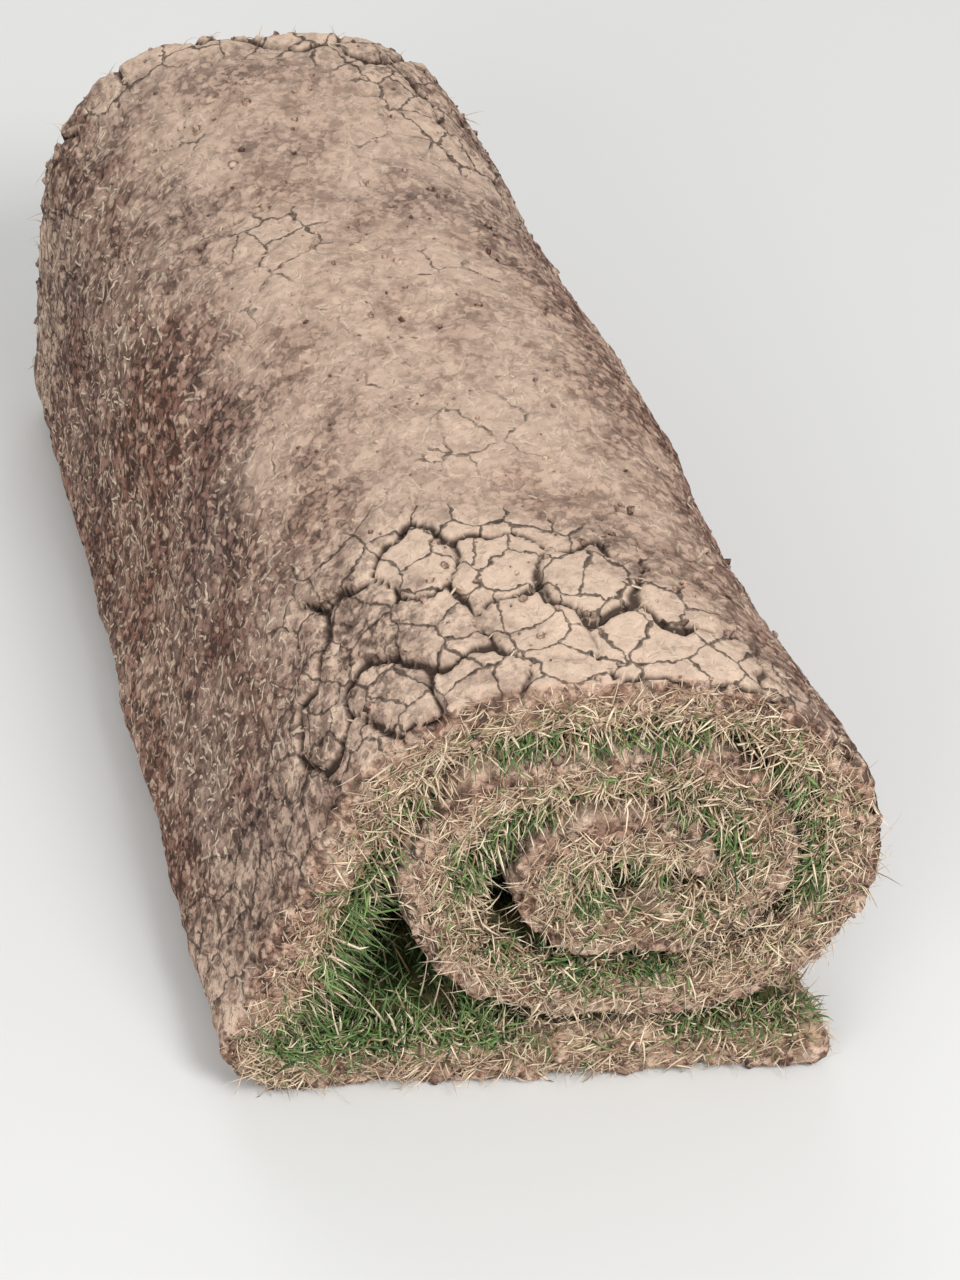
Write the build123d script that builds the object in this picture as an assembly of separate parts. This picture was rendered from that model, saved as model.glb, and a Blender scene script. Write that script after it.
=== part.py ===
from build123d import *
from math import atan2, cos, degrees, radians, sin, sqrt, tan
from random import Random
import os

# A strip of turf, cut with its soil and rolled up grass inwards. The roll lies on its
# side along Y, its turns show on both ends, and its outermost turn has come loose on
# the left, where it stands out in a sharp fold. The dry soil has cracked near the ends.

# Strip
soil_thickness = 17.5
grass_thickness = 9.0
roll_length = 400.0

# Winding
roll_height = 162.0
roll_width = 154.0
core_tuck = 8.0
core_end_reach = 25.0
free_end_reach = 54.0

# Loose outer turn
fold_radius = 20.0
fold_reach_front = 64.0
fold_reach_back = 38.0
loose_grass = 18.0

# Ends
end_skew = 15.0
end_lean = 9.0
turn_groove_depth = 14.0
grass_pinch = 4.0

# Cracks, which follow the sides of wandering cells
crack_width = 2.4
crack_depth = 4.2
crack_depth_step = 0.7
crack_cell = 32.0
crack_wander = 9.0
crack_zone = 80.0
crack_share = 0.8
crack_seed = 9

# How far the tool that opens a crack stands above the soil
crack_clearance = 2.0
# How far the raw shape reaches below the floor, before its underside is cut flat
floor_allowance = 5.0
# How far the cut of the end grooves passes the grass at the free end
free_end_margin = 6.0

pitch = soil_thickness + grass_thickness
left_z = roll_height / 2
right_z = (roll_height + pitch) / 2
outer_left_radius = roll_height / 2
outer_right_radius = (roll_height - pitch) / 2
second_left_radius = outer_left_radius - pitch
left_x = -roll_width / 2 + second_left_radius
right_x = roll_width / 2 - outer_right_radius
half_length = roll_length / 2
skew_rise = tan(radians(end_skew))
lean_rise = tan(radians(end_lean))
end_overrun = (roll_width + fold_reach_front) * skew_rise + roll_height * lean_rise + turn_groove_depth


def on_circle(center, radius, angle):
    """The point of a circle in the XZ plane at an angle in degrees."""
    return (center[0] + radius * cos(radians(angle)), center[1] + radius * sin(radians(angle)))


def fold_center(reach):
    """The centre of the fold, whose outside stands out by reach from the roll."""
    return (-roll_width / 2 - reach + fold_radius, fold_radius)


def fold_slope(reach):
    """Half the angle in degrees between the floor and the loose turn's outside."""
    center = fold_center(reach)
    return degrees(atan2(left_z - center[1], left_x - center[0]))


def winding(reach):
    """The bends of the strip from its free end to the core, as (centre, radius, from, to).

    Radii are those of the soil's outer face, and every bend turns clockwise. The strip
    runs straight between them.
    """
    flap_angle = 90 + 2 * fold_slope(reach)
    left = (left_x, left_z)
    right = (right_x, right_z)
    third_left = (left_x + core_tuck, left_z)
    third_left_radius = second_left_radius - pitch
    core_top = left_z + third_left_radius
    core = (core_end_reach - fold_radius, core_top - fold_radius)
    return [
        (fold_center(reach), fold_radius, 270, flap_angle),
        (left, outer_left_radius, flap_angle, 90),
        (right, outer_right_radius, 90, -90),
        (left, second_left_radius, 270, 90),
        (right, outer_right_radius - pitch, 90, -90),
        (third_left, third_left_radius, 270, 90),
        (core, fold_radius, 90, 0),
    ]


def arc(center, radius, start, end):
    """A circular arc in the XZ plane between two angles in degrees."""
    points = [on_circle(center, radius, a) for a in (start, (start + end) / 2, end)]
    return ThreePointArc(*[(x, 0, z) for x, z in points])


def line(start, end):
    """A straight edge in the XZ plane."""
    return Line((start[0], 0, start[1]), (end[0], 0, end[1]))


def strip_face(bends, depth):
    """The edges of a face of the strip that lies depth under the soil's outer face."""
    edges = []
    point = (free_end_reach, depth)
    for center, radius, start, end in bends:
        edges.append(line(point, on_circle(center, radius - depth, start)))
        edges.append(arc(center, radius - depth, start, end))
        point = on_circle(center, radius - depth, end)
    return edges


def section(edges, y):
    """A flat face across the roll, made from its edges and moved along the axis."""
    return Face(Wire(edges)).moved(Location((0, y, 0)))


def rectangle(low, high):
    """A flat rectangle across the roll between two opposite corners."""
    corners = [low, (high[0], low[1]), high, (low[0], high[1])]
    return section([line(corners[i - 1], corners[i]) for i in range(4)], 0)


def soil_band(reach):
    """The soil of the whole winding, as it shows on an end."""
    bends = winding(reach)
    outside = strip_face(bends, 0)
    inside = strip_face(bends, soil_thickness)
    free_end = line((free_end_reach, 0), (free_end_reach, soil_thickness))
    core_end = Line(outside[-1] @ 1, inside[-1] @ 1)
    return section(outside + inside + [free_end, core_end], 0)


def loose_outline(reach):
    """The left of the roll's outside, from the middle of the left bends to the fold."""
    fold, left = winding(reach)[:2]
    below = -floor_allowance
    fold_bottom = on_circle(fold[0], fold[1], fold[2])
    top = (left_x, roll_height)
    return [
        line((left_x, below), (fold_bottom[0], below)),
        line((fold_bottom[0], below), fold_bottom),
        arc(*fold),
        line(on_circle(fold[0], fold[1], fold[3]), on_circle(left[0], left[1], left[2])),
        arc(*left),
        line(top, (left_x, below)),
    ]


def tight_outline():
    """The right of the roll's outside, with the grass that shows at the free end."""
    run = outer_right_radius - grass_pinch
    pinch = degrees(atan2((outer_right_radius**2 - run**2) ** 0.5, run)) - 90
    center = (right_x, right_z)
    pinch_top = on_circle(center, outer_right_radius, pinch)
    pinch_bottom = (pinch_top[0], pitch)
    below = -floor_allowance
    return [
        line((left_x, below), (left_x, roll_height)),
        line((left_x, roll_height), (right_x, roll_height)),
        arc(center, outer_right_radius, 90, pinch),
        line(pinch_top, pinch_bottom),
        line(pinch_bottom, (free_end_reach, pitch)),
        line((free_end_reach, pitch), (free_end_reach, below)),
        line((free_end_reach, below), (left_x, below)),
    ]


def hollow_outline(reach):
    """The space between the loose turn's standing grass and the roll."""
    slope = fold_slope(reach)
    lining = outer_left_radius - soil_thickness - loose_grass
    tip = on_circle((left_x, left_z), lining / sin(radians(slope)), 180 + slope)
    spread = 90 - degrees(atan2((second_left_radius**2 - lining**2) ** 0.5, lining)) - slope
    low = 180 + slope + spread
    high = 180 + slope - spread
    roll = (left_x, left_z)
    return [
        line(tip, on_circle(roll, second_left_radius, low)),
        arc(roll, second_left_radius, low, high),
        line(on_circle(roll, second_left_radius, high), tip),
    ]


def reach_at(y):
    """How far the fold stands out at a place along the axis."""
    share = (y + half_length) / roll_length
    return fold_reach_front + share * (fold_reach_back - fold_reach_front)


def along(outline):
    """A tapered solid along the roll, longer than the strip, from an outline that takes a reach."""
    places = (-half_length - end_overrun, half_length + end_overrun)
    ends = [section(outline(reach_at(y)), y) for y in places]
    return Solid.make_loft([end.outer_wire() for end in ends], ruled=True)


def raw_roll():
    """The whole winding, longer than the strip, with the hollow beside the loose turn."""
    tight = section(tight_outline(), 0)
    tight = extrude(tight, half_length + end_overrun, dir=(0, 1, 0), both=True)
    size = 2 * (roll_length + roll_width)
    floor = Box(size, size, 2 * floor_allowance, align=(Align.CENTER, Align.CENTER, Align.MAX))
    return tight + along(loose_outline) - along(hollow_outline) - floor


def end_plane(side, depth):
    """The plane of an end, facing out: side is -1 in front and 1 behind."""
    outward = Vector(skew_rise, 1, -lean_rise) * side
    middle = Vector(-(fold_reach_front + fold_reach_back) / 4, side * half_length, left_z)
    return Plane(origin=middle - outward.normalized() * depth, z_dir=outward)


def beyond(plane):
    """A block that starts at a plane and covers all that the raw roll has beyond it."""
    size = 2 * (roll_length + roll_width)
    return plane * Box(size, size, 2 * end_overrun, align=(Align.CENTER, Align.CENTER, Align.MIN))


def turn_groove(side):
    """The cut that lets the turns show on an end, where the grass stands back."""
    reach = reach_at(side * half_length)
    size = roll_length + roll_width
    room_corner = (free_end_reach + free_end_margin, right_z - outer_right_radius / 2)
    room = rectangle((right_x, soil_thickness), room_corner)
    whole = section(loose_outline(reach), 0) + section(tight_outline(), 0)
    grass = whole + room - rectangle((-size, -size), (size, 0)) - soil_band(reach)
    place = Location((0, side * half_length, 0))
    cutter = extrude(grass.moved(place), end_overrun, dir=(0, 1, 0), both=True)
    return cutter & beyond(end_plane(side, turn_groove_depth))


def outer_face(s, y):
    """A point of the strip's outer face and the way out of the soil there.

    The place s counts from the free end along the strip, and y along the roll.
    """
    middle = [edge.length for edge in strip_face(winding(reach_at(0)), 0)]
    edges = strip_face(winding(reach_at(y)), 0)
    index = 0
    while s > middle[index]:
        s -= middle[index]
        index += 1
    share = s / middle[index]
    point = edges[index] @ share + Vector(0, y, 0)
    return point, (edges[index] % share).cross(Vector(0, 1, 0))


def end_distance(s, y):
    """How far inside the nearer end's plane a place of the outer face lies, along the roll."""
    point = outer_face(s, y)[0]
    slant = (point - end_plane(1, 0).origin).dot(Vector(skew_rise, 0, -lean_rise))
    return half_length - abs(y + slant)


def crack_joints():
    """Where cracks can meet: the corners of six-sided cells, moved about, as places (s, y)."""
    chance = Random(crack_seed)
    lengths = [edge.length for edge in strip_face(winding(reach_at(0)), 0)]
    first = sum(lengths[:3])
    last = sum(lengths[:6])
    cell_side = crack_cell / sqrt(3)
    rows = int((last - first) / (1.5 * cell_side)) + 1
    columns = int(roll_length / crack_cell) + 3
    joints = {}
    for row in range(rows):
        for column in range(-columns, columns + 1):
            sway = cell_side / 4 * (-1) ** (row + column)
            s = first + row * 1.5 * cell_side + sway + chance.uniform(0, crack_wander)
            y = column * crack_cell / 2 + chance.uniform(-crack_wander, crack_wander) / 2
            joints[row, column] = (s, y)
    return joints


def cracks():
    """The cracks, most of them near the ends, each as two places and a depth.

    The three cracks that can meet in one place all differ in depth.
    """
    chance = Random(crack_seed)
    joints = crack_joints()
    lines = []
    for (row, column), here in joints.items():
        odd = (row + column) % 2
        steps = [(row, column + 1, 1 + odd)] + [(row + 1, column, 0)] * (1 - odd)
        for *step, rank in steps:
            there = joints.get(tuple(step), here)
            s = (here[0] + there[0]) / 2
            y = (here[1] + there[1]) / 2
            inside = end_distance(s, y)
            patch = sin(s / 47) * cos(y / 31 + s / 90)
            dry = 1 - inside / crack_zone + 1.1 * patch
            wanted = chance.random() < crack_share and there != here
            if wanted and inside > -crack_cell / 4 and dry > 0.45:
                lines.append((here, there, crack_depth - rank * crack_depth_step))
    return lines


def crack_cutter(start, end, depth):
    """A wedge that opens a crack between two places of the strip's outer face."""
    first, first_out = outer_face(*start)
    last, last_out = outer_face(*end)
    out = (first_out + last_out).normalized()
    lap = (last - first).normalized() * crack_width / 3
    side = lap.cross(out).normalized() * crack_width / 2 * (1 + crack_clearance / depth)
    top = first - lap + out * crack_clearance
    bottom = first - lap - out * depth
    wedge = Face(Wire.make_polygon([bottom, top + side, top - side]))
    return Solid.extrude(wedge, last - first + lap * 2)


def turf_roll():
    """The rolled strip, standing on its bounding box's bottom centre."""
    roll = raw_roll()
    for side in (-1, 1):
        roll -= beyond(end_plane(side, 0))
        roll -= turn_groove(side)
    roll -= [crack_cutter(*crack) for crack in cracks()]
    box = roll.bounding_box()
    return Pos(-box.center().X, -box.center().Y, -box.min.Z) * roll


os.makedirs("parts", exist_ok=True)
export_step(turf_roll(), "parts/turf_roll.step")
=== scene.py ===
from itertools import combinations
from math import pi, radians, sqrt, tan
from random import Random

import bpy
import numpy as np
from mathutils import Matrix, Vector
from mathutils.bvhtree import BVHTree


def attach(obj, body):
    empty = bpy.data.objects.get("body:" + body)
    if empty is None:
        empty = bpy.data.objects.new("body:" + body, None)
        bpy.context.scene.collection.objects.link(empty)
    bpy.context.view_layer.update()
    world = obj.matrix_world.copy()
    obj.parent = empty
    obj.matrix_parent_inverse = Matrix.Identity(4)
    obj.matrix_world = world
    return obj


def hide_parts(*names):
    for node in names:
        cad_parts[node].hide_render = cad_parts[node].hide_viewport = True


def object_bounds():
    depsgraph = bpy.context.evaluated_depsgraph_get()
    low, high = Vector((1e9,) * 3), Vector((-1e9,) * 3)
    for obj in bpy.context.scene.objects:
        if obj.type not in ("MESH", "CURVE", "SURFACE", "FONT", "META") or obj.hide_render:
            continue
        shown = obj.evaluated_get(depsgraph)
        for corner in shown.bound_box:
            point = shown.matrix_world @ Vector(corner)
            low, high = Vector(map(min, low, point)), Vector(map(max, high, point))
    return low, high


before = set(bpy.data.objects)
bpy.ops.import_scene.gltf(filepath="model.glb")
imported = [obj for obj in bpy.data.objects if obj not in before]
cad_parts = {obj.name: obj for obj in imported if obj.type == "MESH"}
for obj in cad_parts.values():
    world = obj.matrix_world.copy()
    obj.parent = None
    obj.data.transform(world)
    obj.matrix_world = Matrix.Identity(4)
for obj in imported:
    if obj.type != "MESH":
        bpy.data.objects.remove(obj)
cad_low, cad_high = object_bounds()
NODE = "turf_roll"

# Sizes of the strip and its winding, in metres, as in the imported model
SOIL = 0.0175
GRASS = 0.009
LENGTH = 0.400
HEIGHT = cad_high.z - cad_low.z
WIDTH = 0.154
CORE_TUCK = 0.008
CORE_END = 0.025
FREE_END = 0.054
FOLD = 0.020
REACH_FRONT = 0.064
REACH_BACK = 0.038
SKEW = tan(radians(15))
LEAN = tan(radians(9))

# The deep cracks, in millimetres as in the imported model
CRACK_CELL = 32.0
CRACK_WANDER = 9.0
CRACK_ZONE = 80.0
CRACK_SHARE = 0.8
CRACK_DRYNESS = 0.45
CRACK_SEED = 9
CRACK_DEPTH = 4.2
CRACK_DEPTH_STEP = 0.7

# Cracks too fine for the model, and half the width of all of them, in metres
HAIRLINE_DEPTH = 0.0014
HAIRLINE_SHARE = 0.85
HAIRLINE_DRYNESS = -0.15
HAIRLINE_WIDTH_SHARE = 0.65
CRACK_HALF_WIDTH = 0.0016

# How far the roll is out of true, and from what height above the floor it is so in full
SWAY = 0.0015
STEADY_HEIGHT = 0.05

PITCH = SOIL + GRASS
LEFT_Z = HEIGHT / 2
RIGHT_Z = (HEIGHT + PITCH) / 2
LEFT_R = HEIGHT / 2
RIGHT_R = (HEIGHT - PITCH) / 2
LEFT_X = -WIDTH / 2 + LEFT_R - PITCH
RIGHT_X = WIDTH / 2 - RIGHT_R
MIDDLE_X = -(REACH_FRONT + REACH_BACK) / 4

FRONT, BACK = -1, 1
RANDOM_SEED = 7
random = np.random.default_rng(RANDOM_SEED)


# The winding


def reach_at(y):
    """How far the fold stands out at a place along the roll."""
    return REACH_FRONT + (y / LENGTH + 0.5) * (REACH_BACK - REACH_FRONT)


def bends(reach):
    """The strip's bends from its free end to the core: centre, radius, and angles from and to."""
    fold_x = -WIDTH / 2 - reach + FOLD
    flap = pi / 2 + 2 * np.arctan2(LEFT_Z - FOLD, LEFT_X - fold_x)
    core_top = LEFT_Z + LEFT_R - 2 * PITCH
    up, right, down, left_down = pi / 2, 0, -pi / 2, 3 * pi / 2
    return [
        (fold_x, FOLD, FOLD, left_down, flap),
        (LEFT_X, LEFT_Z, LEFT_R, flap, up),
        (RIGHT_X, RIGHT_Z, RIGHT_R, up, down),
        (LEFT_X, LEFT_Z, LEFT_R - PITCH, left_down, up),
        (RIGHT_X, RIGHT_Z, RIGHT_R - PITCH, up, down),
        (LEFT_X + CORE_TUCK, LEFT_Z, LEFT_R - 2 * PITCH, left_down, up),
        (CORE_END - FOLD, core_top - FOLD, FOLD, up, right),
    ]


def run_lengths():
    """The lengths of the straight runs and bends, in order, for the roll's middle."""
    lengths = []
    x, z = FREE_END, 0.0
    for cx, cz, r, start, end in bends(reach_at(0)):
        x1, z1 = cx + r * np.cos(start), cz + r * np.sin(start)
        lengths += [np.hypot(x1 - x, z1 - z), r * abs(end - start)]
        x, z = cx + r * np.cos(end), cz + r * np.sin(end)
    return np.array(lengths)


RUNS = run_lengths()
STARTS = np.concatenate([[0], np.cumsum(RUNS)])
TOTAL = STARTS[-1]
# Where the outermost turn meets the fold, leaves it, turns over the roll, reaches the roll's
# underside and is hidden there
FOLD_START = STARTS[1]
FLAP = STARTS[2]
FLAP_LENGTH = RUNS[2]
FLAP_TOP = STARTS[3]
UNDERSIDE = STARTS[6]
UNDER = UNDERSIDE + RUNS[6] / 2


def wind(s, reach):
    """The soil's outer face at a length along the strip: x, z and the angle of its normal."""
    s, reach = np.broadcast_arrays(np.asarray(s, float), np.asarray(reach, float))
    index = np.clip(np.searchsorted(STARTS, s, side="right") - 1, 0, len(RUNS) - 1)
    share = (s - STARTS[index]) / RUNS[index]
    x, z, angle = np.zeros(s.shape), np.zeros(s.shape), np.zeros(s.shape)
    x0, z0 = FREE_END, 0.0
    for i, (cx, cz, r, start, end) in enumerate(bends(reach)):
        x1, z1 = cx + r * np.cos(start), cz + r * np.sin(start)
        straight = index == 2 * i
        x = np.where(straight, x0 + (x1 - x0) * share, x)
        z = np.where(straight, z0 + (z1 - z0) * share, z)
        angle = np.where(straight, start, angle)
        bent = index == 2 * i + 1
        turn = start + (end - start) * share
        x = np.where(bent, cx + r * np.cos(turn), x)
        z = np.where(bent, cz + r * np.sin(turn), z)
        angle = np.where(bent, turn, angle)
        x0, z0 = cx + r * np.cos(end), cz + r * np.sin(end)
    return x, z, angle


def end_y(x, z, side):
    """Where an end's slanting plane lies along the roll."""
    return side * LENGTH / 2 - SKEW * (x - MIDDLE_X) + LEAN * (z - HEIGHT / 2)


SHIFT = np.array([
    cad_high.x - WIDTH / 2,
    cad_low.y - end_y(FREE_END, 0, FRONT),
    cad_low.z,
])


def place(s, across, depth, inset=0.0, beyond=0.0):
    """Points of the strip: s along it, across from 0 in front to 1 behind, depth into the soil.

    Gives the points, the soil's outward normals and the strip's direction.
    """
    s, across, depth, beyond = np.broadcast_arrays(s, across, depth, beyond)
    y = (across - 0.5) * LENGTH
    for _ in range(3):
        x, z, angle = wind(s, reach_at(y))
        x, z = x - depth * np.cos(angle), z - depth * np.sin(angle)
        low = end_y(x, z, FRONT) + inset
        high = end_y(x, z, BACK) - inset
        y = low + across * (high - low)
    zero = np.zeros(x.shape)
    free = np.clip(z / STEADY_HEIGHT, 0, 1)
    sway_x = SWAY * (0.4 + 0.6 * free) * np.sin(y / 0.036 + z / 0.07)
    sway_z = SWAY * free * np.sin(y / 0.027 + x / 0.045 + 1)
    point = np.stack([x + sway_x, y + beyond, z + sway_z], -1) + SHIFT
    normal = np.stack([np.cos(angle), zero, np.sin(angle)], -1)
    ahead = np.stack([np.sin(angle), zero, -np.cos(angle)], -1)
    return point, normal, ahead


# The cracks


def end_distance(s, y):
    """How far inside the nearer end's plane a place of the outer face lies, along the roll."""
    x, z, _ = wind(s, reach_at(y))
    return LENGTH / 2 - np.abs(y - end_y(x, z, 0))


def dryness(s, y):
    """How dry and cracked the outer face is: most near the ends, in patches."""
    patch = np.sin(s / 0.047) * np.cos(y / 0.031 + s / 0.090)
    return 1 - end_distance(s, y) / (CRACK_ZONE / 1000) + 1.1 * patch


def crack_joints():
    """Where cracks can meet: the corners of six-sided cells, moved about, as places (s, y)."""
    chance = Random(CRACK_SEED)
    first = FLAP_TOP * 1000
    last = UNDERSIDE * 1000
    cell_side = CRACK_CELL / sqrt(3)
    rows = int((last - first) / (1.5 * cell_side)) + 1
    columns = int(LENGTH * 1000 / CRACK_CELL) + 3
    joints = {}
    for row in range(rows):
        for column in range(-columns, columns + 1):
            stagger = cell_side / 4 * (-1) ** (row + column)
            s = first + row * 1.5 * cell_side + stagger + chance.uniform(0, CRACK_WANDER)
            y = column * CRACK_CELL / 2 + chance.uniform(-CRACK_WANDER, CRACK_WANDER) / 2
            joints[row, column] = (s / 1000, y / 1000)
    return joints


def cracks():
    """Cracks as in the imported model, and the hairlines that join them: two places and a depth."""
    chance = Random(CRACK_SEED)
    hairline_chance = Random(CRACK_SEED + 1)
    joints = crack_joints()
    lines = []
    for (row, column), here in joints.items():
        odd = (row + column) % 2
        steps = [(row, column + 1, 1 + odd)] + [(row + 1, column, 0)] * (1 - odd)
        for *step, rank in steps:
            there = joints.get(tuple(step), here)
            s = (here[0] + there[0]) / 2
            y = (here[1] + there[1]) / 2
            dry = dryness(s, y)
            near = float(end_distance(s, y)) > -CRACK_CELL / 4000
            deep = chance.random() < CRACK_SHARE and dry > CRACK_DRYNESS
            hairline = hairline_chance.random() < HAIRLINE_SHARE and dry > HAIRLINE_DRYNESS
            if there != here and near and (deep or hairline):
                depth = (CRACK_DEPTH - rank * CRACK_DEPTH_STEP) / 1000 if deep else HAIRLINE_DEPTH
                lines.append((here, there, depth))
    return lines


CRACKS = cracks()


def crack_depth(s, y):
    """How deep the cracks are at places of the outer face."""
    wander_s = 0.0013 * np.sin(y / 0.0031 + np.sin(s / 0.0047)) + 0.0022 * np.sin(y / 0.0083)
    wander_y = 0.0013 * np.sin(s / 0.0028 + np.sin(y / 0.0039)) + 0.0022 * np.sin(s / 0.0091)
    places = np.stack([s + wander_s, y + wander_y], -1)
    uneven = 1 + 0.35 * np.sin(s / 0.009 + y / 0.013) + 0.3 * np.sin(y / 0.0043 - s / 0.0061)
    deepest = np.zeros(s.shape)
    for start, end, depth in CRACKS:
        a, b = np.array(start), np.array(end)
        share = np.clip((places - a) @ (b - a) / ((b - a) @ (b - a)), 0, 1)
        gap = np.linalg.norm(places - a - share[..., None] * (b - a), axis=-1)
        width = CRACK_HALF_WIDTH * uneven * (HAIRLINE_WIDTH_SHARE if depth == HAIRLINE_DEPTH else 1)
        deepest = np.maximum(deepest, depth * np.clip(1 - gap / width, 0, 1) ** 0.7)
    return deepest


# Meshes


def make_mesh(name, points, triangles, attributes):
    """An object from points and triangles, with its point attributes, riding on the roll."""
    mesh = bpy.data.meshes.new(name)
    mesh.vertices.add(len(points))
    mesh.vertices.foreach_set("co", np.asarray(points, np.float32).ravel())
    mesh.loops.add(triangles.size)
    mesh.loops.foreach_set("vertex_index", triangles.astype(np.int32).ravel())
    mesh.polygons.add(len(triangles))
    mesh.polygons.foreach_set("loop_start", np.arange(0, triangles.size, 3, dtype=np.int32))
    mesh.polygons.foreach_set("use_smooth", np.ones(len(triangles), bool))
    mesh.update(calc_edges=True)
    mesh.validate()
    for key, values in attributes.items():
        kind, field = ("FLOAT_VECTOR", "vector") if values.ndim == 2 else ("FLOAT", "value")
        attribute = mesh.attributes.new(key, kind, "POINT")
        attribute.data.foreach_set(field, values.astype(np.float32).ravel())
    piece = bpy.data.objects.new(name, mesh)
    bpy.context.scene.collection.objects.link(piece)
    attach(piece, "root")
    return piece


def cap(ring, heights, first):
    """Triangles that close a ring, zipped between its two sides in the order of heights."""
    low, high = int(np.argmin(heights)), int(np.argmax(heights))
    count = len(ring)
    up = [(low + i) % count for i in range((high - low) % count + 1)]
    down = [(low - i) % count for i in range((low - high) % count + 1)]
    triangles = []
    i = j = 0
    while i < len(up) - 1 or j < len(down) - 1:
        up_left, down_left = i < len(up) - 1, j < len(down) - 1
        step_up = not down_left or (up_left and heights[up[i + 1]] <= heights[down[j + 1]])
        third = up[i + 1] if step_up else down[j + 1]
        corner = [ring[up[i]], ring[down[j]], ring[third]]
        i, j = (i + 1, j) if step_up else (i, j + 1)
        if len(set(corner)) == 3:
            triangles.append(corner if first else corner[::-1])
    return triangles


def loft(shape, along):
    """Triangles of a closed tube, of rows of points by columns, and of its two caps."""
    rows, columns = shape
    index = np.arange(rows * columns).reshape(rows, columns)
    a, b = index[:-1], np.roll(index, -1, 1)[:-1]
    c, d = index[1:], np.roll(index, -1, 1)[1:]
    halves = [np.stack(corners, -1).reshape(-1, 3) for corners in ((a, b, d), (a, d, c))]
    caps = cap(index[0], along[0], True) + cap(index[-1], along[-1], False)
    return np.concatenate([*halves, np.array(caps)])


def slab_profile(faces, inner_faces, edge_steps, thickness, bulge):
    """The closed outline of the strip's cross-section, from the front of its outer face round.

    Gives the place across, the depth, how far it stands beyond the end, and which way each
    point faces: up as the outer face does, and out as the ends do.
    """
    turn = np.linspace(0, pi, edge_steps + 2)[1:-1]
    drop = thickness / 2 * (1 - np.sign(np.cos(turn)) * np.abs(np.cos(turn)) ** 0.5)
    swell = bulge * np.sin(turn) ** 0.5
    outer, inner = np.zeros(len(faces)), np.zeros(len(inner_faces))
    across = np.concatenate([faces, np.ones(edge_steps), inner_faces[::-1], np.zeros(edge_steps)])
    depth = np.concatenate([outer, drop, inner + thickness, drop[::-1]])
    beyond = np.concatenate([outer, swell, inner, -swell[::-1]])
    up = np.concatenate([outer + 1, np.cos(turn), inner - 1, np.cos(turn[::-1])])
    out = np.concatenate([outer, np.sin(turn), inner, -np.sin(turn[::-1])])
    return across, depth, beyond, up, out


# The strip's rounded cut edges, which bulge from a little inside the ends, and its rounded tips
EDGE_BULGE = 0.0055
EDGE_INSET = 0.0045
EDGE_STEPS = 13
NOSE = 0.007
NOSE_STEPS = 6


def nose(tip, direction):
    """Rows that round off a tip of the strip: places along it and how far it is squeezed."""
    share = (np.arange(NOSE_STEPS) + 0.35) / NOSE_STEPS
    squeeze = np.sqrt(1 - (1 - share) ** 2)
    rows = tip - direction * NOSE * (1 - share)
    return (rows, squeeze) if direction > 0 else (rows[::-1], squeeze[::-1])


def strip_rows(start, end, row_step, round_start, round_end):
    """Places along a stretch of the strip, and how far the rows of its tips are squeezed."""
    rows = np.linspace(start, end, int((end - start) / row_step))
    squeeze = np.ones(len(rows))
    if round_start:
        extra, narrow = nose(start, 1)
        rows, squeeze = np.concatenate([extra, rows[1:]]), np.concatenate([narrow, squeeze[1:]])
    if round_end:
        extra, narrow = nose(end, -1)
        rows, squeeze = np.concatenate([rows[:-1], extra]), np.concatenate([squeeze[:-1], narrow])
    return rows, squeeze


def columns_across(near, first, count):
    """Places across the strip: listed ones near both ends, and evenly spread ones between."""
    near = np.array(near)
    return np.concatenate([near, np.linspace(first, 1 - first, count), 1 - near[::-1]])


def edge_inset(depth):
    """How far inside the end's plane the rounded cut edge of the soil lies at a depth."""
    level = np.clip(1 - 2 * depth / SOIL, -1, 1)
    turn = np.arccos(np.sign(level) * level**2)
    return EDGE_INSET - EDGE_BULGE * np.sqrt(np.sin(turn))


def soil_piece(name, start, end, faces, row_step, round_start, round_end):
    """A stretch of the strip's soil, closed, with rounded tips where asked.

    Its points carry their place on the strip, which way the relief pushes them, and how much
    they are cut edge, outer face, cracked and dry.
    """
    rows, squeeze = strip_rows(start, end, row_step, round_start, round_end)
    inner = columns_across([0, 0.006], 0.02, 14)
    across, depth, beyond, up, out = slab_profile(faces, inner, EDGE_STEPS, SOIL, EDGE_BULGE)
    s = rows[:, None]
    depth = SOIL / 2 + (depth - SOIL / 2)[None, :] * squeeze[:, None]
    points, normal, _ = place(s, across, depth, EDGE_INSET, beyond)
    push = normal * up[None, :, None]
    push[..., 1] += out[None, :]
    shape = depth.shape
    here = np.broadcast_to(s, shape)
    y = points[..., 1] - SHIFT[1]
    values = {
        "strip": np.stack([here, points[..., 1], depth], -1).reshape(-1, 3),
        "push": push.reshape(-1, 3),
        "edge": np.broadcast_to(np.abs(out), shape).ravel(),
        "outer": (np.broadcast_to(np.clip(up, 0, 1), shape) * squeeze[:, None]).ravel(),
        "crack": (crack_depth(here, y) * np.clip(up + 0.25, 0, 1)).ravel(),
        "dry": np.clip(dryness(here, y), 0, 1).ravel(),
    }
    triangles = loft(shape, points[..., 1])
    return make_mesh(name, points.reshape(-1, 3), triangles, values)


# Blades and fibres: the points along each, their least height, and how far they taper
KNOTS = 4
BLADE_CLEARANCE = 0.0006
BLADE_TAPER = 0.75


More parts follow.
